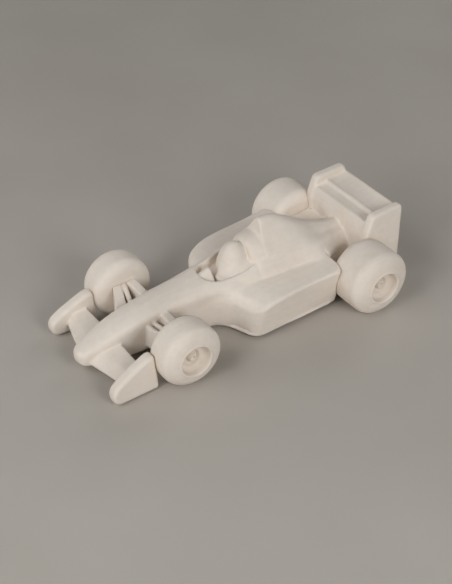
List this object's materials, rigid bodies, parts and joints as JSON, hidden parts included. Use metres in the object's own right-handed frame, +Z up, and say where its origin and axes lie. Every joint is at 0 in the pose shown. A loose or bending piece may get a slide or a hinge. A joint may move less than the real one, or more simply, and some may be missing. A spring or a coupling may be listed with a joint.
{
  "type": "ceramic model of an open wheel racing car",
  "caption": "Unglazed white ceramic model of a formula style single seater with slick tyres, front wing, side pods, helmeted driver, tall engine cover and rear wing; the wheels do not turn.",
  "frame": {"origin": "on the ground under the middle of the bounding box, with the car standing on its four tyres", "axes": "+X forward to the nose, +Y to the driver's left, +Z up"},
  "size_m": [0.254, 0.1388, 0.0699],
  "materials": {
    "bisque": "unglazed bisque fired white earthenware, dry and matt"
  },
  "bodies": {
    "root": {"airbox": "bisque", "cockpit_tub": "bisque", "dash_cowl": "bisque", "driver_helmet": "bisque", "engine_cover": "bisque", "floor_plate": "bisque", "front_left_forward_arm": "bisque", "front_left_pushrod": "bisque", "front_left_rearward_arm": "bisque", "front_left_tyre": "bisque", "front_left_wheel": "bisque", "front_right_forward_arm": "bisque", "front_right_pushrod": "bisque", "front_right_rearward_arm": "bisque", "front_right_tyre": "bisque", "front_right_wheel": "bisque", "front_wing_left": "bisque", "front_wing_right": "bisque", "gearbox_tail": "bisque", "headrest": "bisque", "left_front_end_plate": "bisque", "left_rear_end_plate": "bisque", "left_side_pod": "bisque", "nose_cone": "bisque", "rear_left_arm": "bisque", "rear_left_tyre": "bisque", "rear_left_wheel": "bisque", "rear_right_arm": "bisque", "rear_right_tyre": "bisque", "rear_right_wheel": "bisque", "rear_wing_flap": "bisque", "rear_wing_mainplane": "bisque", "rear_wing_pylon": "bisque", "right_front_end_plate": "bisque", "right_rear_end_plate": "bisque", "right_side_pod": "bisque"}
  },
  "joints": []
}
